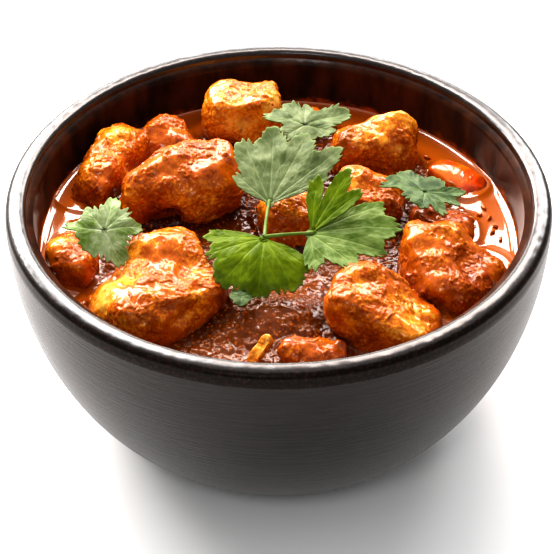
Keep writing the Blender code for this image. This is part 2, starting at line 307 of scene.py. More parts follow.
def chicken_finish():
    """Meat under a coat of sauce: cream and gold where it is thin, orange to rust where it is thick.
    Painted shade darkens the lower parts near the sauce, and the pulp's grains have painted light on top and
    painted shade between.
    """
    f = Finish("chicken_in_sauce")
    coat, hollow, wet = f.attribute("coat"), f.attribute("hollow"), f.attribute("wet")
    speckle = f.noise(0.8, 4.0, 0.7)
    fine = f.noise(1.6, 4.0, 0.62)
    patch = f.noise(4.5, 4.0, 0.6)
    # Darker towards the sauce level: partly sauce soaking the lower parts, partly painted shade.
    cover = coat + (speckle - 0.5) * 0.9 + (fine - 0.5) * 0.9 + (patch - 0.5) * 1.1 + wet * 0.45
    colour = f.mix(cover.between(0.00, 0.22), CREAM, GOLD)
    colour = f.mix(cover.between(0.20, 0.45), colour, AMBER)
    colour = f.mix(cover.between(0.42, 0.62), colour, ORANGE)
    colour = f.mix(cover.between(0.74, 1.1), colour, RUST)
    colour = f.mix(cover.between(1.0, 1.5) * 0.7, colour, MAROON)
    deep = hollow + (fine - 0.5) * 0.9
    colour = f.mix(deep.between(0.4, 1.1) * 0.55, colour, RUST)
    colour = f.mix(deep.between(0.9, 1.5) * 0.6, colour, MAROON)
    chilli = f.cells(2.1).between(0.14, 0.24, 1.0, 0.0) * f.noise(5.0).between(0.45, 0.6)
    colour = f.mix(chilli * 0.8, colour, CHILLI)
    pulp = f.attribute("pulp")
    granules = f.cells(1.3, f.wandering(0.6)).between(0.05, 0.6, 1.0, 0.0)
    grain = f.bump(f.noise(0.5, 2.0, 0.6), 0.04, 0.6)
    surface = f.bump(granules * pulp, 0.14, 0.8, f.bump(fine, 0.14, 0.8, grain))
    # Painted light on the tops of the pulp's grains, and painted shade in the gaps between them.
    colour = f.mix(granules.between(0.35, 0.9) * pulp * 0.55, colour, AMBER)
    colour = f.mix(granules.between(0.05, 0.4, 1.0, 0.0) * pulp * 0.4, colour, RUST)
    return f.done(
        f.principled(
            Base_Color=colour,
            Roughness=0.4,
            Specular_IOR_Level=0.06,
            Normal=surface,
            Subsurface_Weight=0.15,
            Subsurface_Radius=(1.0, 0.35, 0.08),
            Subsurface_Scale=0.0015,
            Coat_Weight=0.65 - pulp * 0.25,
            Coat_Roughness=0.07,
        )
    )


def tomato_finish():
    """A soft slice: bright red skin edge over orange flesh, slick with sauce."""
    f = Finish("tomato")
    coat, hollow = f.attribute("coat"), f.attribute("hollow")
    skin = (coat + (f.noise(3.0, 3.0) - 0.5) * 0.6).between(0.3, 0.8)
    colour = f.mix(skin, (0.80, 0.20, 0.004), (0.72, 0.070, 0.003))
    colour = f.mix(hollow * 0.6, colour, MAROON)
    surface = f.bump(f.noise(1.2, 3.0), 0.12, 0.6)
    return f.done(
        f.principled(
            Base_Color=colour,
            Roughness=0.2,
            Normal=surface,
            Subsurface_Weight=0.3,
            Subsurface_Radius=(1.0, 0.25, 0.06),
            Subsurface_Scale=0.003,
            Coat_Weight=0.5,
            Coat_Roughness=0.06,
        )
    )


def sauce_finish():
    """Oily sauce: brown in the deep middle, orange where it thins to the wall, rust where it is pulpy.
    Painted shade darkens it to near black beside the pieces, and the pulp's grains have painted light on top.
    """
    f = Finish("curry_sauce")
    pulp, oil, depth = f.attribute("pulp"), f.attribute("oil"), f.attribute("depth")
    patch = f.noise(6.0, 5.0, 0.65)
    colour = f.mix((oil + (patch - 0.5) * 0.8).between(0.2, 0.9), (0.21, 0.048, 0.003), (0.42, 0.098, 0.005))
    fine = f.noise(1.1, 4.0, 0.65)
    colour = f.mix(pulp * fine.between(0.35, 0.65), colour, (0.165, 0.046, 0.006))
    # Painted shade: the depth attribute darkens the sauce to near black in the gaps beside the pieces.
    colour = f.mix(depth, colour, (0.045, 0.006, 0.001))
    chilli = f.cells(3.4).between(0.07, 0.15, 1.0, 0.0) * f.noise(9.0).between(0.5, 0.62)
    colour = f.mix(chilli * 0.9, colour, CHILLI)
    granules = f.cells(1.35, f.wandering(0.6)).between(0.05, 0.6, 1.0, 0.0)
    # Painted light: the tops of the pulp's grains are lightened.
    colour = f.mix(granules.between(0.4, 0.9) * pulp * 0.75, colour, (0.48, 0.13, 0.008))
    surface = f.bump(granules * pulp, 0.10, 0.8, f.bump(f.noise(1.2, 2.0, 0.6), 0.05, 0.35))
    return f.done(
        f.principled(
            Base_Color=colour,
            Roughness=pulp * 0.3 + 0.10,
            Specular_IOR_Level=0.05,
            Normal=surface,
            Subsurface_Weight=0.15,
            Subsurface_Radius=(1.0, 0.25, 0.06),
            Subsurface_Scale=0.002,
            Coat_Weight=0.95 - pulp * 0.78,
            Coat_Roughness=0.05,
            Coat_IOR=1.75,
        )
    )


def stoneware_finish():
    """Dark clay: brushed and matte outside, a glassy glaze on the lip and inside, sauce on the wall."""
    f = Finish("stoneware")
    inside, lip, crest = f.attribute("inside"), f.attribute("lip"), f.attribute("crest")
    brushed = f.noise(1.0, 5.0, 0.65, 0.0, f.stretched(0.07, 0.07, 1.6))
    clay_colour = f.mix(brushed.between(0.3, 0.7), (0.007, 0.005, 0.004), (0.020, 0.015, 0.013))
    clay_colour = f.mix(f.noise(0.8, 2.0, 0.7).between(0.62, 0.75), clay_colour, (0.004, 0.003, 0.003))
    clay_surface = f.bump(f.noise(0.7, 3.0, 0.6), 0.06, 0.5, f.bump(brushed, 0.25, 0.6))
    clay = f.principled(
        Base_Color=clay_colour, Roughness=0.42, Specular_IOR_Level=0.34, Normal=clay_surface,
        Sheen_Weight=0.22, Sheen_Roughness=0.4,
    )
    speckle = f.noise(0.9, 4.0, 0.7)
    band = f.mix(speckle.between(0.45, 0.7), (0.006, 0.004, 0.003), (0.036, 0.016, 0.010))
    wall = f.mix(f.noise(6.0, 4.0, 0.6, 0.0, f.stretched(1.0, 1.0, 0.35)).between(0.3, 0.7),
                 (0.018, 0.007, 0.004), (0.070, 0.022, 0.008))
    colour = f.mix(inside, band, wall)
    edge = f.z + (f.noise(5.0, 4.0, 0.6) - 0.5) * 9.0
    smear = edge.between(SAUCE_LEVEL - 0.5, SAUCE_LEVEL + 2.5, 1.0, 0.0) * inside
    colour = f.mix(smear, colour, (0.36, 0.075, 0.006))
    shine = (crest * 0.8 + (f.noise(0.8, 4.0, 0.75) - 0.5) * 1.2).between(0.25, 0.75)
    glaze = f.principled(
        Base_Color=colour, Roughness=0.34, Specular_IOR_Level=0.14,
        Normal=f.bump(f.noise(0.7, 3.0, 0.6), 0.05, 0.4),
        Coat_Weight=shine * 0.8, Coat_IOR=1.62, Coat_Roughness=0.22,
    )
    glazed = (lip + (f.noise(1.4, 4.0, 0.7) - 0.5) * 0.5 + inside).between(0.4, 0.6)
    return f.done(f.add("ShaderNodeMixShader", {}, {0: glazed, 1: clay, 2: glaze}))


def leaf_finish(name, shade, light, glow):
    """A coriander leaf: green between paler veins, satin, and lit through from behind."""
    f = Finish(name)
    vein, edge = f.attribute("vein"), f.attribute("edge")
    patch = f.noise(4.0, 4.0, 0.6)
    colour = f.mix(patch.between(0.3, 0.7), shade, light)
    colour = f.mix(vein * 0.42, colour, tuple(min(1.0, 1.6 * part + 0.02) for part in light))
    colour = f.mix(edge.between(0.93, 1.0) * 0.4, colour, (0.30, 0.42, 0.12))
    surface = f.bump(f.noise(0.5, 3.0, 0.6), 0.05, 0.6)
    leaf = f.principled(Base_Color=colour, Roughness=0.38, Normal=surface, Specular_IOR_Level=0.16)
    through = f.add("ShaderNodeBsdfTranslucent", {}, {"Color": glow, "Normal": surface})
    both = f.add("ShaderNodeMixShader", {}, {0: 0.38, 1: leaf, 2: through})
    return f.done(both)


# ---------------------------------------------------------------- the bowl


def outer_radius(height):
    """The bowl's side: a superellipse from the base out to its widest, just under the lip."""
    depth = 1.0 - (BASE_RADIUS / (RIM_RADIUS + 0.2)) ** BULGE_POWER
    reach = BULGE_HEIGHT / depth ** (1.0 / BULGE_POWER)
    drop = np.maximum(BULGE_HEIGHT - np.asarray(height, dtype=float), 0.0) / reach
    return (RIM_RADIUS + 0.2) * (1.0 - drop**BULGE_POWER) ** (1.0 / BULGE_POWER)


def inner_radius(height):
    """The inside of the wall, which thickens towards the foot."""
    share = np.asarray(height, dtype=float) / BOWL_HEIGHT
    return outer_radius(height) - (SIDE_WALL * share + FOOT_WALL * (1.0 - share))


def rounded(share):
    """A share of a rounded corner: its power 2/p with its own sign, flatter on top than a circle."""
    return math.copysign(abs(share) ** (2.0 / LIP_POWER), share)


def bowl_profile():
    """(radius, height, inside, lip, crest) from the middle of the base, up the side, over the lip and
    down the inside to the floor."""
    lip_middle = RIM_RADIUS - LIP_WALL / 2
    lip_base = BOWL_HEIGHT - LIP_DROP
    foot = [(r, 0.0, 0, 0, 0) for r in np.linspace(2.0, BASE_RADIUS - 1.5, 8)]
    foot += [(BASE_RADIUS - 1.5 + 1.4 * math.sin(a), 1.4 - 1.4 * math.cos(a), 0, 0, 0)
             for a in (0.4, 0.8, 1.2)]
    side = [(float(outer_radius(z)), z, 0, float(smooth(68.6, 69.8, z)), 0)
            for z in np.linspace(1.6, 70.6, 60)]
    turns = np.linspace(0.0, np.pi, 33)
    lip = [(lip_middle + LIP_WALL / 2 * rounded(math.cos(a)),
            lip_base + LIP_DROP * rounded(math.sin(a)) - LIP_TILT * (1.0 + math.cos(a)) / 2 * math.sin(a),
            float(smooth(2.4, 3.1, a)), 1.0, float(smooth(0.8, 1.3, a))) for a in turns]
    wall = [(float(inner_radius(z)), z, 1, 1, 0) for z in np.linspace(70.6, 14.0, 40)]
    floor = [(float(inner_radius(14.0)) * s, FLOOR_THICKNESS + 4.5 * s**8, 1, 1, 0)
             for s in np.linspace(0.97, 0.06, 16)]
    return np.array(foot + side + lip + wall + floor)


def make_bowl(finish):
    """The profile carried round a circle, with a hand-thrown waver of a tenth of a millimetre, and the
    glaze on the lip uneven by a few hundredths."""
    profile = bowl_profile()
    around = 600
    turn = np.arange(around) * 2 * np.pi / around
    radius = np.repeat(profile[:, 0], around)
    height = np.repeat(profile[:, 1], around)
    angle = np.tile(turn, len(profile))
    waver = 0.12 * np.sin(2 * angle + 0.6) * smooth(5.0, 60.0, height) - 0.12
    radius = radius + waver
    points = np.stack([radius * np.cos(angle), radius * np.sin(angle), height], axis=1)
    glazed = np.repeat(profile[:, 3], around) * smooth(65.0, 69.0, height)
    points[:, 2] += glazed * (0.05 * octaves(points, 2.4, 17, 2) - 0.06)
    poles = np.array([[0.0, 0.0, 0.0], [0.0, 0.0, FLOOR_THICKNESS]])
    count = len(points)
    faces = grid_quads(len(profile), around, closed=True).tolist()
    last = count - around
    faces += [(count, (k + 1) % around, k) for k in range(around)]
    faces += [(count + 1, last + k, last + (k + 1) % around) for k in range(around)]
    values = {
        "inside": np.concatenate([np.repeat(profile[:, 2], around), [0, 1]]),
        "lip": np.concatenate([np.repeat(profile[:, 3], around), [0, 1]]),
        "crest": np.concatenate([np.repeat(profile[:, 4], around), [0, 0]]),
    }
    points = np.vstack([points, poles])
    return make_piece("stoneware_bowl", points, faces, finish, ["bowl"], values)


# ---------------------------------------------------------------- the pieces of chicken

# Each piece: its half sizes, its turn about X, Y and Z in degrees, a seed, how thickly it is sauced from 0
# to 1, its knuckles and dents as azimuth, elevation, millimetres out and spread in degrees, and its bare
# patches as azimuth, elevation, spread and strength.
PIECES = {
    "chicken_back": (
        (13, 10, 12.8), (0, 0, 4), 3, 0.36,
        [(-165, -15, 2.5, 26), (-60, 60, 1.0, 30), (-90, 30, -1.5, 22)],
        [(-110, 5, 45, 0.9), (-30, 20, 30, 0.4)],
    ),
    "chicken_back_left": (
        (20, 10.5, 12.5), (0, -6, 58), 8, 0.48,
        [(85, 60, 3.0, 24), (-120, 10, -1.5, 25), (10, 50, -2.0, 30)],
        [(-170, 30, 25, 0.4), (100, 50, 25, 0.6)],
    ),
    "chicken_left_behind": (
        (9.5, 9, 11), (8, 0, 20), 5, 0.55,
        [(90, 60, 1.5, 40)],
        [],
    ),
    "chicken_left": (
        (18, 11.5, 12.5), (8, -6, 8), 2, 0.68,
        [(-62, -12, 3.2, 30), (-100, -22, -4.5, 17), (-130, -20, 1.5, 22), (165, 30, -2.0, 28),
         (60, 50, 1.0, 30)],
        [(-60, -15, 26, 0.85), (-85, 15, 24, 0.35), (-150, 10, 18, 0.4)],
    ),
    "chicken_left_small": (
        (9, 11, 10.5), (0, 0, -15), 6, 0.55,
        [(-170, 40, 1.5, 35), (-60, 40, 1.2, 25)],
        [(160, 50, 40, 0.5)],
    ),
    "chicken_front_left": (
        (18.5, 17.5, 12.8), (0, 4, 30), 7, 0.5,
        [(100, 50, 3.5, 30), (-172, -10, 2.5, 26), (165, 40, -3.5, 34), (15, 45, -3.5, 34),
         (-75, -15, 2.0, 30), (-40, 20, -1.5, 16)],
        [(-178, 25, 34, 0.9), (-48, 5, 20, 0.8), (-110, -15, 22, 0.5)],
    ),
    "chicken_shred": (
        (8.4, 3.0, 2.8), (0, -32, 52), 4, 0.1,
        [],
        [(-60, 30, 90, 0.8)],
    ),
    "chicken_front": (
        (10, 7, 7.5), (0, 0, -6), 9, 0.45,
        [(180, 50, 2.0, 30)],
        [(-70, 20, 40, 0.5)],
    ),
    "chicken_front_right": (
        (18, 13.5, 12), (0, 10, -24), 1, 0.6,
        [(120, 55, 4.0, 28), (5, 35, -5.0, 36), (-150, 25, 1.5, 22), (-105, -20, 2.5, 26),
         (-60, 55, -1.5, 24)],
        [(-60, 35, 40, 0.6), (-10, 30, 40, 0.45), (-140, 0, 18, 0.6)],
    ),
    "chicken_right": (
        (16.5, 15, 11.5), (4, 6, -10), 10, 0.72,
        [(80, 70, 3.0, 34), (0, 45, -4.0, 34), (10, -5, 3.0, 22), (-90, 20, 1.0, 30)],
        [(150, 50, 24, 0.4), (60, 60, 34, 0.35), (0, 5, 18, 0.7)],
    ),
    "chicken_centre_right": (
        (11.5, 9, 10.5), (0, 0, -12), 11, 0.58,
        [(110, 50, 1.5, 30)],
        [],
    ),
    "chicken_right_low": (
        (11, 7, 8.5), (0, 8, -10), 12, 0.72,
        [(150, 40, 1.5, 30)],
        [(-40, 20, 30, 0.3)],
    ),
    "chicken_back_right": (
        (14.5, 10.5, 12), (6, 0, 6), 13, 0.5,
        [(15, 60, 2.5, 22), (95, 70, 1.5, 22), (165, 45, -2.5, 28), (-160, 0, 1.5, 26)],
        [(80, 60, 40, 0.35), (20, 60, 20, 0.4)],
    ),
    "chicken_centre": (
        (10, 10, 10), (0, 0, 12), 14, 0.45,
        [],
        [(170, 40, 50, 0.5)],
    ),
    "chicken_back_tip": (
        (7, 6, 9), (0, 0, 0), 15, 0.6,
        [],
        [],
    ),
    "tomato_wedge": (
        (10.5, 7, 6), (0, 10, -38), 16, 0.5,
        [],
        [],
    ),
}
EDGE_POWER = 6.0
CHAMFERS = 9
MESH_STEP = 0.27


def cube_sphere(steps):
    """Unit directions and quads of a cube's faces, each of steps by steps, blown out to a sphere."""
    line = np.tan(np.linspace(-np.pi / 4, np.pi / 4, steps + 1))
    u, v = (part.ravel() for part in np.meshgrid(line, line, indexing="ij"))
    sheets, quads = [], []
    grid = grid_quads(steps + 1, steps + 1)
    for axis in range(3):
        for side in (-1.0, 1.0):
            sheet = np.empty((len(u), 3))
            sheet[:, axis] = side
            sheet[:, (axis + 1) % 3] = u
            sheet[:, (axis + 2) % 3] = v
            quads.append((grid if side < 0 else grid[:, ::-1]) + len(sheets) * len(u))
            sheets.append(sheet)
    directions = np.vstack(sheets)
    directions /= np.linalg.norm(directions, axis=1, keepdims=True)
    _, first, index = np.unique(np.round(directions, 6), axis=0, return_index=True, return_inverse=True)
    return directions[first], index.reshape(-1)[np.vstack(quads)]


def block_radius(directions, turn, half, seed):
    """A diced block: a soft minimum of the distances to its six sides and its chamfers."""
    draws = np.random.default_rng(seed)
    corners = draws.normal(size=(CHAMFERS, 3))
    corners /= np.linalg.norm(corners, axis=1, keepdims=True)
    normals = np.vstack([np.eye(3), -np.eye(3), corners])
    heights = np.concatenate([np.ones(6), draws.uniform(0.98, 1.22, CHAMFERS)])
    lean = ((directions @ rotation(turn)) / np.array(half)) @ normals.T / heights
    return np.sum(np.maximum(lean, 0.0) ** EDGE_POWER, axis=1) ** (-1.0 / EDGE_POWER)


def patches(directions, spots):
    """The sum of round spots on a sphere: strength times exp(k(cos - 1)), with k from the spread."""
    total = np.zeros(len(directions))
    for azimuth, elevation, strength, spread in spots:
        sharpness = 1.0 / (1.0 - math.cos(math.radians(spread)))
        total += strength * np.exp(sharpness * (directions @ toward(azimuth, elevation) - 1.0))
    return total


def piece_surface(node, own, turn, seed, thick, knuckles, bare):
    """Points, quads and coat values of a piece that fills its box in the frame.

    Block, plus knuckles, fitted to the box, plus relief along the normal: broad undulation, folds and
    pulp, the round grains of onion and spice in the sauce.
    """
    low, high = (np.array(corner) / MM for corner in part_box(node))
    middle, half = (low + high) / 2, (high - low) / 2
    steps = int(np.clip(half.mean() * np.pi / 2 / MESH_STEP, 22, 100))
    directions, quads = cube_sphere(steps)
    raw = directions * block_radius(directions, turn, own, seed)[:, None]
    raw *= 1.0 + (patches(directions, knuckles) / half.mean())[:, None]
    raw_low, raw_high = raw.min(axis=0), raw.max(axis=0)
    points = middle + (raw - (raw_low + raw_high) / 2) / ((raw_high - raw_low) / 2) * (half - 0.3)
    size = min(min(own) / 9.0, 1.0)
    place = points + seed * 31.7
    normals = point_normals(points, quads)
    upward = normals[:, 2]
    broad = octaves(place, 9.0 * size, seed, 2)
    folds = 1.0 - np.abs(octaves(place, 6.0 * size, seed + 50, 2))
    flow = noise(place, 3.6 * size, seed + 70)
    shown = patches(directions, [(a, e, s, w) for a, e, w, s in bare])
    coat = np.clip(thick + 0.22 * octaves(place, 6.0, seed + 90, 3) + 0.12 * upward - 0.7 * shown, 0.0, 1.4)
    pulpy = smooth(0.05, 0.30, octaves(place, 5.0, seed + 120, 3, 0.6) + 0.15 * upward - 0.3 * shown)
    near, _ = pebbles(place, 1.7, seed)
    grains = np.maximum(1.0 - near / 0.62, 0.0)
    fine, _ = pebbles(place, 0.95, seed + 3)
    crumbs = np.maximum(1.0 - fine / 0.6, 0.0)
    relief = 1.1 * size * broad + 0.35 * size * (folds - 0.7) + 0.36 * size * flow
    relief += pulpy * max(size, 0.35) * (0.20 + 0.28 * grains**0.8 + 0.24 * crumbs)
    relief += 0.10 * size * noise(place, 1.5, seed + 80)
    if node == "tomato_wedge":
        relief = 0.35 * relief
    points = points + normals * (relief - 0.45)[:, None]
    hollow = smooth(0.55, 1.05, 0.5 - broad * 0.40 - (folds - 0.7) * 0.8 - flow * 0.2)
    hollow = np.clip(hollow + 0.6 * pulpy * (1.0 - crumbs) * (1.0 - grains), 0.0, 1.0)
    # Sauce soak and painted shade: each piece grows darker over the 11 mm above the sauce level.
    wet = smooth(SAUCE_LEVEL + 11.0, SAUCE_LEVEL, points[:, 2])
    hollow = hollow * (1 - 0.4 * smooth(0.2, 0.9, upward))
    values = {"coat": coat, "hollow": hollow, "wet": wet, "pulp": pulpy}
    return points, quads, values


def make_pieces(chicken, tomato):
    """Every chunk of chicken in its coat, and the one slice of tomato."""
    for node, shape in PIECES.items():
        points, quads, values = piece_surface(node, *shape)
        is_tomato = node == "tomato_wedge"
        finish, slot = (tomato, "tomato") if is_tomato else (chicken, "chicken_in_sauce")
        make_piece("sauced_" + node, points, quads, finish, [node], values)


# ---------------------------------------------------------------- the sauce


def piece_gap(x, y):
    """The distance in millimetres from points on the sauce to the nearest piece's side, below 0 inside it."""
    level = np.stack([x, y, np.full(len(x), SAUCE_LEVEL)], axis=1)
    nearest = np.full(len(x), 99.0)
    for node, (own, turn, seed, *_) in PIECES.items():
        low, high = (np.array(corner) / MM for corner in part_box(node))
        away = level - (low + high) / 2
        distance = np.linalg.norm(away, axis=1)
        reach = block_radius(away / np.maximum(distance, 1e-6)[:, None], turn, own, seed)
        nearest = np.minimum(nearest, distance - reach)
    return nearest


def make_sauce(finish):
    """A disc of squares bent round to circles. Its height is the level, the mound, a meniscus against the
    wall and the pieces, ripples, and grains of pulp where the sauce is thick."""
    steps = 310
    line = np.linspace(-1.0, 1.0, steps + 1)
    u, v = (part.ravel() for part in np.meshgrid(line, line, indexing="ij"))
    edge = float(inner_radius(SAUCE_LEVEL)) + 0.25
    x = edge * u * np.sqrt(1.0 - v * v / 2.0)
    y = edge * v * np.sqrt(1.0 - u * u / 2.0)
    radius = np.hypot(x, y)
    flat = np.stack([x, y, np.zeros(len(x))], axis=1)
    gap = piece_gap(x, y)
    across = (x - MOUND["at"][0]) / MOUND["spread"][0]
    along = (y - MOUND["at"][1]) / MOUND["spread"][1]
    mound = np.exp(-(across**2) - along**2)
    patchy = octaves(flat, 9.0, 5, 3)
    pulp = smooth(58.0, 50.0, radius + 4.0 * patchy) * (0.7 + 0.3 * smooth(-0.4, 0.2, patchy))
    pulp = np.maximum(pulp, smooth(-20.0, -40.0, y) * 0.8)
    near, _ = pebbles(flat, 2.3, 41)
    fine, _ = pebbles(flat, 1.3, 47)
    relief = 0.35 * octaves(flat, 9.0, 21, 2) * smooth(60.0, 46.0, radius)
    relief += pulp * (0.60 * np.maximum(1.0 - near / 0.7, 0.0) + 0.50 * np.maximum(1.0 - fine / 0.65, 0.0))
    relief += pulp * (0.5 * (1.0 - np.abs(octaves(flat, 6.0, 61, 2))) + 0.35 * noise(flat, 3.0, 71))
    meniscus = 1.1 * np.exp(-np.maximum(edge - radius, 0.0) / 1.2) + 1.0 * np.exp(-np.maximum(gap, 0.0) / 1.1)
    height = SAUCE_LEVEL - 0.2 + MOUND["rise"] * mound + relief + meniscus
    top = np.stack([x, y, height], axis=1)
    quads = grid_quads(steps + 1, steps + 1)
    rim = np.concatenate([
        np.arange(steps + 1),
        (steps + 1) * np.arange(1, steps + 1) + steps,
        (steps + 1) * steps + np.arange(steps - 1, -1, -1),
        (steps + 1) * np.arange(steps - 1, 0, -1),
    ])
    depth_rings = [(float(inner_radius(z)) + 0.2, z) for z in (SAUCE_LEVEL - 3.0, 48.0, 36.0, 24.0, 15.0)]
    angle = np.arctan2(y[rim], x[rim])
    rings = [np.stack([r * np.cos(angle), r * np.sin(angle), np.full(len(rim), z)], axis=1)
             for r, z in depth_rings]
    points = np.vstack([top, *rings, [[0.0, 0.0, 12.0]]])
    faces = quads[:, ::-1].tolist() if top_faces_down(top, quads) else quads.tolist()
    loops = [rim] + [len(top) + k * len(rim) + np.arange(len(rim)) for k in range(len(rings))]
    for above, below in zip(loops, loops[1:]):
        ahead = np.roll(above, -1)
        wall = np.stack([above, below, np.roll(below, -1), ahead], axis=1)
        faces += wall[:, ::order_out(top, rim)].tolist()
    last = loops[-1]
    centre = np.full(len(last), len(points) - 1)
    faces += np.stack([last, centre, np.roll(last, -1)], axis=1)[:, ::order_out(top, rim)].tolist()
    filler = np.zeros(len(points) - len(top))
    # Painted shade, near black in the gaps beside the pieces and less on the mound, stored as depth.
    shade = smooth(9.0, 1.0, gap) * smooth(62.0, 40.0, radius) * (1 - 0.8 * mound)
    values = {
        "pulp": np.concatenate([pulp, filler]),
        "oil": np.concatenate([smooth(46.0, 64.0, radius), filler]),
        "depth": np.concatenate([0.9 * shade, filler]),
    }
    return make_piece("sauce_surface", points, faces, finish, ["sauce"], values)


# Bits that float near the wall, most of them on the right: each one's middle, half length, half width
# and heading in degrees.
FLOATING_BITS = (
    (53.6, 18.6, 2.5, 0.9, 12), (57.0, 19.6, 1.9, 0.8, -38), (56.4, 24.2, 1.3, 0.5, 5),
    (58.6, 13.6, 1.5, 0.5, -70), (57.2, 9.8, 0.9, 0.6, 20), (59.9, 8.4, 1.1, 0.5, 60),
    (61.2, 4.6, 0.8, 0.5, -20), (60.2, 2.0, 1.0, 0.6, 45), (62.2, -1.2, 0.9, 0.5, 80),
    (-59.5, 6.0, 1.2, 0.6, 70), (-57.0, -3.0, 0.9, 0.6, 20), (44.0, 37.5, 1.0, 0.5, -30),
)


def make_bits(finish):
    """Scraps of onion and skin afloat on the sauce: flattened ellipsoids roughened by noise."""
    directions, quads = cube_sphere(12)
    points, faces = [], []
    for order, (x, y, length, width, heading) in enumerate(FLOATING_BITS):
        rough = 1.0 + 0.22 * noise(directions + order * 3.1, 0.7, 90 + order)
        shape = directions * rough[:, None] * np.array([length, width, 0.5])
        points.append(shape @ rotation((0, 0, heading)).T + np.array([x, y, SAUCE_LEVEL + 0.3]))
        faces.append(quads + order * len(directions))
    points = np.vstack(points)
    none = np.zeros(len(points))
    values = {"coat": none + 0.75, "hollow": none, "wet": none, "pulp": none + 0.5}
    make_piece("floating_bits", points, np.vstack(faces), finish, (), values)


def top_faces_down(top, quads):
    """Whether the grid's quads face down as they are numbered."""
    first = top[quads[0]]
    return np.cross(first[2] - first[0], first[3] - first[1])[2] < 0


def order_out(top, rim):
    """The step, 1 or -1, through a side face's corners that makes it face outward."""
    x, y = top[rim, 0], top[rim, 1]
    anticlockwise = np.sum(x * np.roll(y, -1) - np.roll(x, -1) * y) > 0
    return -1 if anticlockwise else 1


# ---------------------------------------------------------------- the coriander

# Each blade: its base, heading, pitch and roll in degrees, how many degrees it bends down along its
# length, how deep it is creased, how far it is crumpled, the radius its lobes are joined to, and its
# lobes, each a direction from the heading, a length and a half width in degrees.
BLADES = {
    "coriander_sprig_back": ((-2.5, -6.0, 73.4), 84, 24, 0, 12, 0.5, 0.9, 1.2, (
        (50, 14, 20), (25, 23.0, 22), (3, 26.0, 17), (-20, 25.5, 20), (-43, 26.8, 14), (-57, 18.5, 9))),
    "coriander_sprig_front": ((-4.0, -20.2, 72.3), 262, 0, -6, 56, 0.3, 1.2, 1.4, (
        (-86, 16.5, 18), (-62, 16.5, 20), (-30, 18.5, 34), (4, 18.0, 38), (38, 17.5, 34), (64, 15.0, 20))),
    "coriander_sprig_right": ((8.3, -18.9, 73.0), -22, 9, 14, 24, 0.4, 1.0, 1.4, (
        (-64, 13, 26), (-26, 17.5, 24), (0, 22.0, 16), (22, 25.0, 20), (42, 22.5, 14))),
    "coriander_sprig_upright": ((8.9, -18.2, 73.2), 50, 42, 0, 8, 0.4, 0.8, 1.2, (
        (28, 16.5, 17), (-1, 20.0, 16), (-22, 17.5, 15))),
    "coriander_back": ((7.4, 29.2, 74.8), 80, 12, 0, 24, 0.6, 1.0, 6.5, (
        (72, 13.5, 26), (38, 11.5, 26), (8, 9.0, 30), (-56, 14.5, 34), (-100, 9.5, 40), (140, 8, 50))),
    "coriander_left": ((-46.6, -19.0, 74.5), 0, 0, 25, 30, 0.3, 4.2, 7.9, (
        (172, 11.6, 17), (128, 8.6, 24), (78, 11.0, 26), (45, 9.5, 20), (12, 11.2, 22), (-60, 10.8, 36))),
    "coriander_right": ((40.5, 2.9, 70.6), 140, 5, 0, 34, 0.8, 1.8, 7.2, (
        (12, 14, 26), (-20, 12.0, 26), (-140, 11.5, 20), (-168, 10.8, 18), (158, 11.0, 18), (120, 7.5, 26))),
    "coriander_front": ((-10, -36.6, 66.0), 90, 5, 0, 20, 0.2, 0.4, 2.0, (
        (60, 3.2, 80), (-60, 3.2, 80), (180, 3.2, 80))),
}
TOOTH_LENGTH = 2.5
TOOTH_DEPTH = 1.8
SPRIG_NODE = (-3.8, -19.5, 72.6)
SPRIG_STEMS = {
    "coriander_stem_back": (SPRIG_NODE, (-3.6, -12.0, 72.9), (-2.5, -5.0, 73.6)),
    "coriander_stem_right": (SPRIG_NODE, (2.4, -19.2, 73.4), (9.4, -18.7, 73.3)),
}
LEAF_THICKNESS = 0.35
VEIN_WIDTH = 0.30


def blade_reach(turn, lobes, web):
    """A leaf's radius in a direction: its longest lobe there, each a round arch, over the web that joins
    them, cut by pointed teeth that are even along the edge."""
    total = np.full_like(turn, web**8)
    for direction, length, half_width in lobes:
        off = (turn - math.radians(direction) + np.pi) % (2 * np.pi) - np.pi
        arch = np.sqrt(np.maximum(1.0 - (off / math.radians(half_width)) ** 2, 0.0))
        total += (length * arch) ** 8
    reach = total ** (1 / 8)
    x, y = reach * np.cos(turn), reach * np.sin(turn)
    edge = np.cumsum(np.hypot(x - np.roll(x, 1), y - np.roll(y, 1)))
    phase = edge / TOOTH_LENGTH + 0.25 * np.sin(edge * 0.9)
    cut = np.abs(np.cos(phase * np.pi)) ** 2.5
    deep = 0.65 + 0.35 * np.sin(edge * 0.47 + 1.0)
    return reach - TOOTH_DEPTH * deep * cut * smooth(2.0, 9.0, reach)


def vein_field(u, v, lobes):
    """Nearness to the veins: a main one to each lobe's tip, and side ones that leave it at 32 degrees."""
    field = np.zeros(len(u))
    for direction, length, _ in lobes:
        along_axis = np.array([math.cos(math.radians(direction)), math.sin(math.radians(direction))])
        along = u * along_axis[0] + v * along_axis[1]
        across = -u * along_axis[1] + v * along_axis[0]
        inside = smooth(-0.3, 0.4, along) * smooth(length * 1.02, length * 0.8, along)
        width = VEIN_WIDTH * (1.15 - 0.75 * np.clip(along / length, 0.0, 1.0))
        field = np.maximum(field, inside * np.exp(-((across / width) ** 2)))
        for share in (0.3, 0.48, 0.66, 0.82):
            for side in (-1.0, 1.0):
                lean = math.radians(32.0) * side
                du, dv = along - share * length, across
                run = du * math.cos(lean) + dv * math.sin(lean)
                off = -du * math.sin(lean) + dv * math.cos(lean)
                reach = length * (1.05 - share) * 0.8
                twig = smooth(0.0, 0.3, run) * smooth(reach, reach * 0.6, run)
                field = np.maximum(field, 0.55 * twig * np.exp(-((off / (VEIN_WIDTH * 0.55)) ** 2)))
    return field


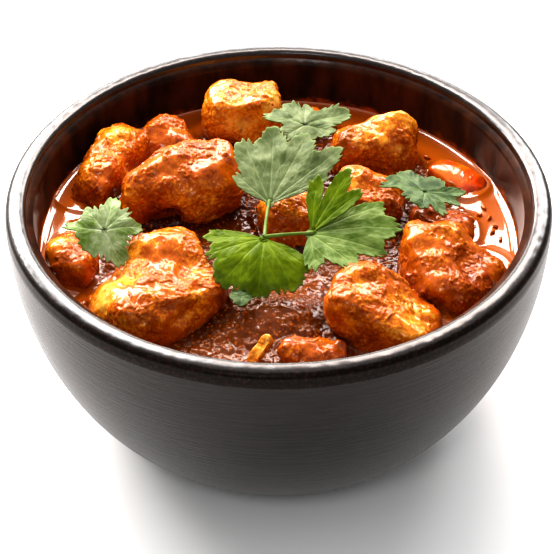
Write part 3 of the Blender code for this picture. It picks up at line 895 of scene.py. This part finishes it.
def make_blade(name, base, heading, pitch, roll, bend, crease, crumple, web, lobes, finish, stands_for):
    """Rings of the outline about the base, creased between the veins, rolled down along its length."""
    longest = max(length for _, length, _ in lobes)
    rays, rings = int(160 + 18 * longest), int(12 + longest)
    turn = np.linspace(-np.pi, np.pi, rays, endpoint=False)
    reach = blade_reach(turn, lobes, web)
    share = np.linspace(0.0, 1.0, rings + 1)[1:] ** 0.85
    u = np.outer(share, reach * np.cos(turn)).ravel()
    v = np.outer(share, reach * np.sin(turn)).ravel()
    u, v = np.append(u, 0.0), np.append(v, 0.0)
    ring = np.append(np.repeat(share, rays), 0.0)
    angle = np.append(np.tile(turn, rings), 0.0)
    veins = vein_field(u, v, lobes)
    flat = np.stack([u, v, np.full(len(u), heading * 1.3)], axis=1)
    away = np.hypot(u, v) / longest
    fold = np.ones(len(u)) * 9.0
    for direction, _, _ in lobes:
        off = (angle - math.radians(direction) + np.pi) % (2 * np.pi) - np.pi
        fold = np.minimum(fold, np.abs(off))
    lift = crease * smooth(0.0, 0.35, fold) * away * 1.5
    lift += crumple * away * noise(flat, 7.0, 3) + 0.35 * away * noise(flat, 3.0, 5) - 0.10 * veins
    lift += 0.08 * octaves(flat, 1.2, 9, 2) * smooth(0.05, 0.3, away)
    curl = math.radians(bend) / longest
    along = np.where(curl * u > 1e-6, np.sin(curl * u) / max(curl, 1e-6), u)
    sag = np.where(curl * u > 1e-6, (1.0 - np.cos(curl * u)) / max(curl, 1e-6), 0.0)
    lean = np.where(u > 0, curl * u, 0.0)
    local = np.stack([along + lift * np.sin(lean), v, -sag + lift * np.cos(lean)], axis=1)
    local[:, 2] -= bend / 60.0 * 1.2 * (v / longest) ** 2 * 2.0
    points = local @ rotation((roll, -pitch, heading)).T + np.array(base)
    inner = grid_quads(rings, rays, closed=True)
    faces = inner.tolist()
    faces += [(rings * rays, k, (k + 1) % rays) for k in range(rays)]
    piece = make_piece(name, points, faces, finish, stands_for, {"vein": veins, "edge": ring})
    solidify(piece, LEAF_THICKNESS, 0.0)
    return piece


def make_stem(name, start, through, end, finish):
    """A round stem carried along a quadratic curve, thinner and fluted towards its end."""
    steps, sides = 30, 16
    t = np.linspace(0.0, 1.0, steps + 1)[:, None]
    start, through, end = (np.array(p, dtype=float) for p in (start, through, end))
    path = (1 - t) ** 2 * start + 2 * t * (1 - t) * through + t**2 * end
    tangent = np.gradient(path, axis=0)
    tangent /= np.linalg.norm(tangent, axis=1, keepdims=True)
    across = np.cross(tangent, [0.0, 0.0, 1.0])
    across /= np.linalg.norm(across, axis=1, keepdims=True)
    third = np.cross(tangent, across)
    turn = np.arange(sides) * 2 * np.pi / sides
    width = (0.52 - 0.14 * t + 0.25 * smooth(0.85, 1.0, t)) * (1.0 + 0.08 * np.cos(5 * turn))
    rings = path[:, None] + width[:, :, None] * (
        np.cos(turn)[None, :, None] * across[:, None] + np.sin(turn)[None, :, None] * third[:, None]
    )
    points = np.vstack([rings.reshape(-1, 3), [path[0]], [path[-1]]])
    count = (steps + 1) * sides
    faces = grid_quads(steps + 1, sides, closed=True).tolist()
    faces += [(count, (k + 1) % sides, k) for k in range(sides)]
    faces += [(count + 1, count - sides + k, count - sides + (k + 1) % sides) for k in range(sides)]
    values = {"vein": np.full(len(points), 0.5), "edge": np.zeros(len(points))}
    return make_piece(name, points, faces, finish, (), values)


def make_coriander():
    """Every blade in its own green, and the sprig's two stems."""
    fresh = leaf_finish("coriander_fresh", (0.10, 0.18, 0.020), (0.27, 0.36, 0.11), (0.24, 0.36, 0.03))
    pale = leaf_finish("coriander_pale", (0.13, 0.18, 0.065), (0.32, 0.38, 0.19), (0.20, 0.26, 0.10))
    bright = leaf_finish("coriander_bright", (0.10, 0.17, 0.002), (0.22, 0.31, 0.007), (0.30, 0.38, 0.002))
    # Darker green for the right leaf, and painted shade on the small front tip, which lies in shadow under
    # the front sprig leaf.
    deep = leaf_finish("coriander_dark_and_shaded", (0.035, 0.08, 0.020), (0.20, 0.28, 0.12), (0.07, 0.12, 0.02))
    crumpled = leaf_finish("coriander_crumpled", (0.15, 0.25, 0.03), (0.52, 0.60, 0.36), (0.30, 0.42, 0.08))
    finishes = {"coriander_sprig_back": pale, "coriander_back": pale, "coriander_sprig_upright": bright,
                "coriander_sprig_front": bright, "coriander_left": crumpled,
                "coriander_right": deep, "coriander_front": deep}
    for name, values in BLADES.items():
        stands_for = [name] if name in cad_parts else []
        if name == "coriander_sprig_back":
            stands_for = ["coriander_sprig"]
        shown_name = name + "_leaf"
        make_blade(shown_name, *values, finishes.get(name, fresh), stands_for)
    for name, values in SPRIG_STEMS.items():
        make_stem(name, *values, fresh)


# ---------------------------------------------------------------- the studio


def make_camera():
    """The camera looks along +Y and down, with its long lens's axis at the middle of the bowl."""
    target, distance, elevation = np.array([-0.5, 0.0, 42.3]), 525.0, 39.85
    camera = bpy.data.objects.new("camera", bpy.data.cameras.new("camera"))
    camera.data.lens = 119.3
    camera.data.sensor_width = 36.0
    camera.data.clip_start = 0.01
    camera.location = ((target + distance * toward(-90.0, elevation)) * MM).tolist()
    camera.rotation_euler = (math.radians(90.0 - elevation), 0.0, 0.0)
    bpy.context.scene.collection.objects.link(camera)
    bpy.context.scene.camera = camera


def area_light(name, azimuth, elevation, distance, width, height, watts, colour=(1.0, 1.0, 1.0)):
    """A soft rectangle that faces the bowl from a direction."""
    data = bpy.data.lights.new(name, "AREA")
    data.shape = "RECTANGLE"
    data.size, data.size_y = width, height
    data.energy = watts
    data.color = colour
    light = bpy.data.objects.new(name, data)
    away = toward(azimuth, elevation)
    light.location = (away * distance + np.array([0.0, 0.0, 0.06])).tolist()
    light.rotation_euler = (math.radians(90.0 - elevation), 0.0, math.radians(azimuth + 90.0))
    bpy.context.scene.collection.objects.link(light)


def make_studio():
    """Two windows and a low strip behind the bowl, panels at its sides, soft light over it, a pale floor."""
    area_light("window_back_left", 104.0, 45.0, 1.25, 0.36, 0.46, 6.8, (1.0, 0.89, 0.83))
    area_light("window_back_right", 76.0, 45.0, 1.25, 0.40, 0.46, 7.2, (1.0, 0.88, 0.82))
    area_light("window_back_low", 90.0, 14.0, 1.25, 0.70, 0.20, 3.0)
    area_light("panel_left", 128.0, 27.0, 1.2, 0.85, 0.58, 21.0, (1.0, 0.96, 0.93))
    area_light("panel_left_high", 119.0, 55.0, 1.3, 0.50, 0.34, 6.0)
    area_light("panel_right", 60.0, 27.0, 1.2, 0.42, 0.42, 5.0)
    area_light("ceiling", 110.0, 78.0, 1.6, 2.4, 2.0, 4.5)
    area_light("front_soft", -104.0, 48.0, 1.2, 0.30, 0.30, 1.5)
    world = bpy.data.worlds.new("studio")
    world.use_nodes = True
    background = world.node_tree.nodes["Background"]
    background.inputs["Color"].default_value = (1.0, 1.0, 1.0, 1.0)
    background.inputs["Strength"].default_value = 0.40
    bpy.context.scene.world = world
    bpy.context.scene.view_settings.view_transform = "Standard"
    bpy.context.scene.view_settings.look = "High Contrast"
    f = Finish("pale_floor")
    tint = f.mix(f.noise(60.0, 3.0), (0.92, 0.92, 0.92), (0.95, 0.95, 0.95))
    paper = f.done(f.principled(Base_Color=tint, Roughness=0.7))
    mesh = bpy.data.meshes.new("floor")
    side = 4.0
    corners = [(-side, -side, 0), (side, -side, 0), (side, side, 0), (-side, side, 0)]
    mesh.from_pydata(corners, [], [(0, 1, 2, 3)])
    mesh.materials.append(paper)
    floor = bpy.data.objects.new("floor", mesh)
    bpy.context.scene.collection.objects.link(floor)


make_camera()
make_studio()
make_bowl(stoneware_finish())
CHICKEN = chicken_finish()
make_pieces(CHICKEN, tomato_finish())
make_sauce(sauce_finish())
make_bits(CHICKEN)
make_coriander()
